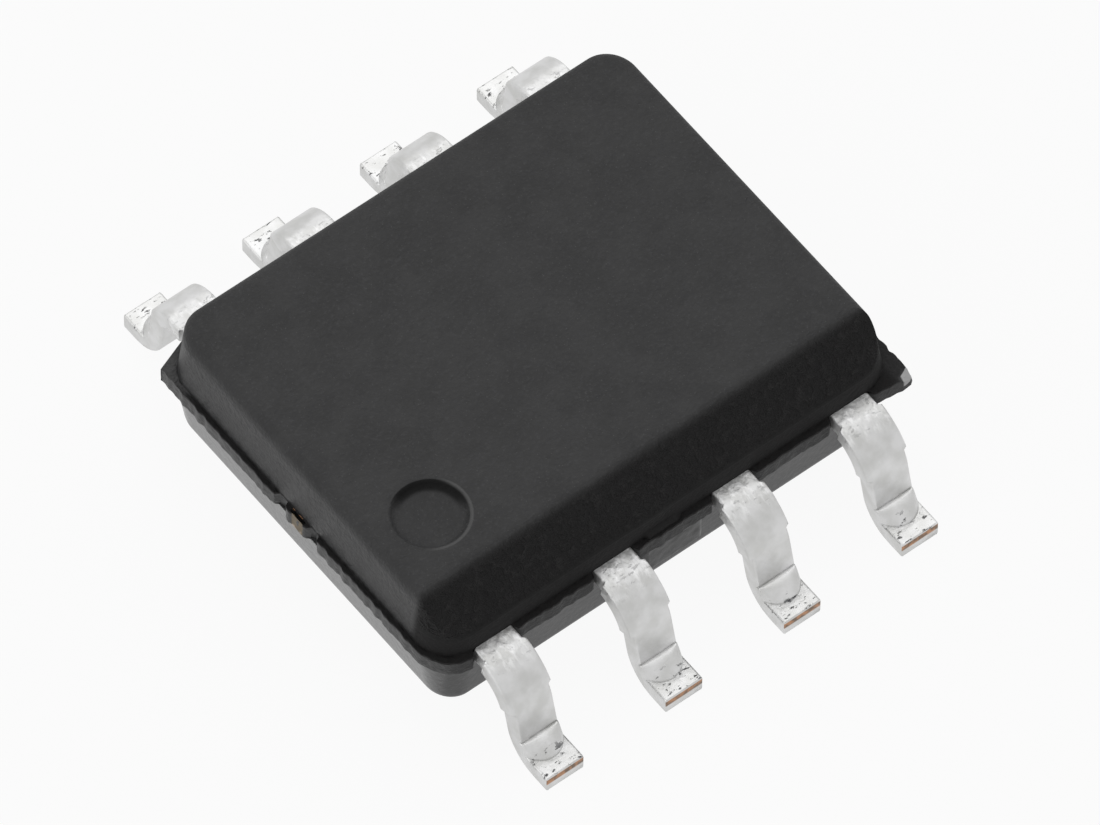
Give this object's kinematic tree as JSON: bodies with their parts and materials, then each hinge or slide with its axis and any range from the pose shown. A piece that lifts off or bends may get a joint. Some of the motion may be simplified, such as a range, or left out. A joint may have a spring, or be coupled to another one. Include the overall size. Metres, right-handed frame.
{
  "type": "soic chip",
  "caption": "Small surface-mount integrated circuit: flat black moulded body with two rows of bent tinned leads, a bevelled long side and a round recess that marks the first lead.",
  "frame": {"origin": "centre of the package's footprint, in the plane the feet stand on", "axes": "+Z points away from the board. +X runs along the rows of leads, from lead 1 to lead 4. +Y points from the row of leads 1 to 4, on the bevelled side, to the row of leads 5 to 8."},
  "size_m": [0.0051, 0.006, 0.0016],
  "materials": {
    "resin": "fine-grained matt black epoxy",
    "tinned_lead": "matt tin plate on copper alloy",
    "copper": "bare copper alloy",
    "die_glue": "silver-filled epoxy",
    "silicon": "polished, passivated silicon",
    "gold_wire": "drawn gold"
  },
  "bodies": {
    "root": {"package_body": "resin", "lead_1": "tinned_lead", "lead_2": "tinned_lead", "lead_3": "tinned_lead", "lead_4": "tinned_lead", "lead_5": "tinned_lead", "lead_6": "tinned_lead", "lead_7": "tinned_lead", "lead_8": "tinned_lead", "die_pad": "copper", "die_attach": "die_glue", "die": "silicon", "bond_wire_1": "gold_wire", "bond_wire_2": "gold_wire", "bond_wire_3": "gold_wire", "bond_wire_4": "gold_wire", "bond_wire_5": "gold_wire", "bond_wire_6": "gold_wire", "bond_wire_7": "gold_wire", "bond_wire_8": "gold_wire"}
  },
  "joints": []
}
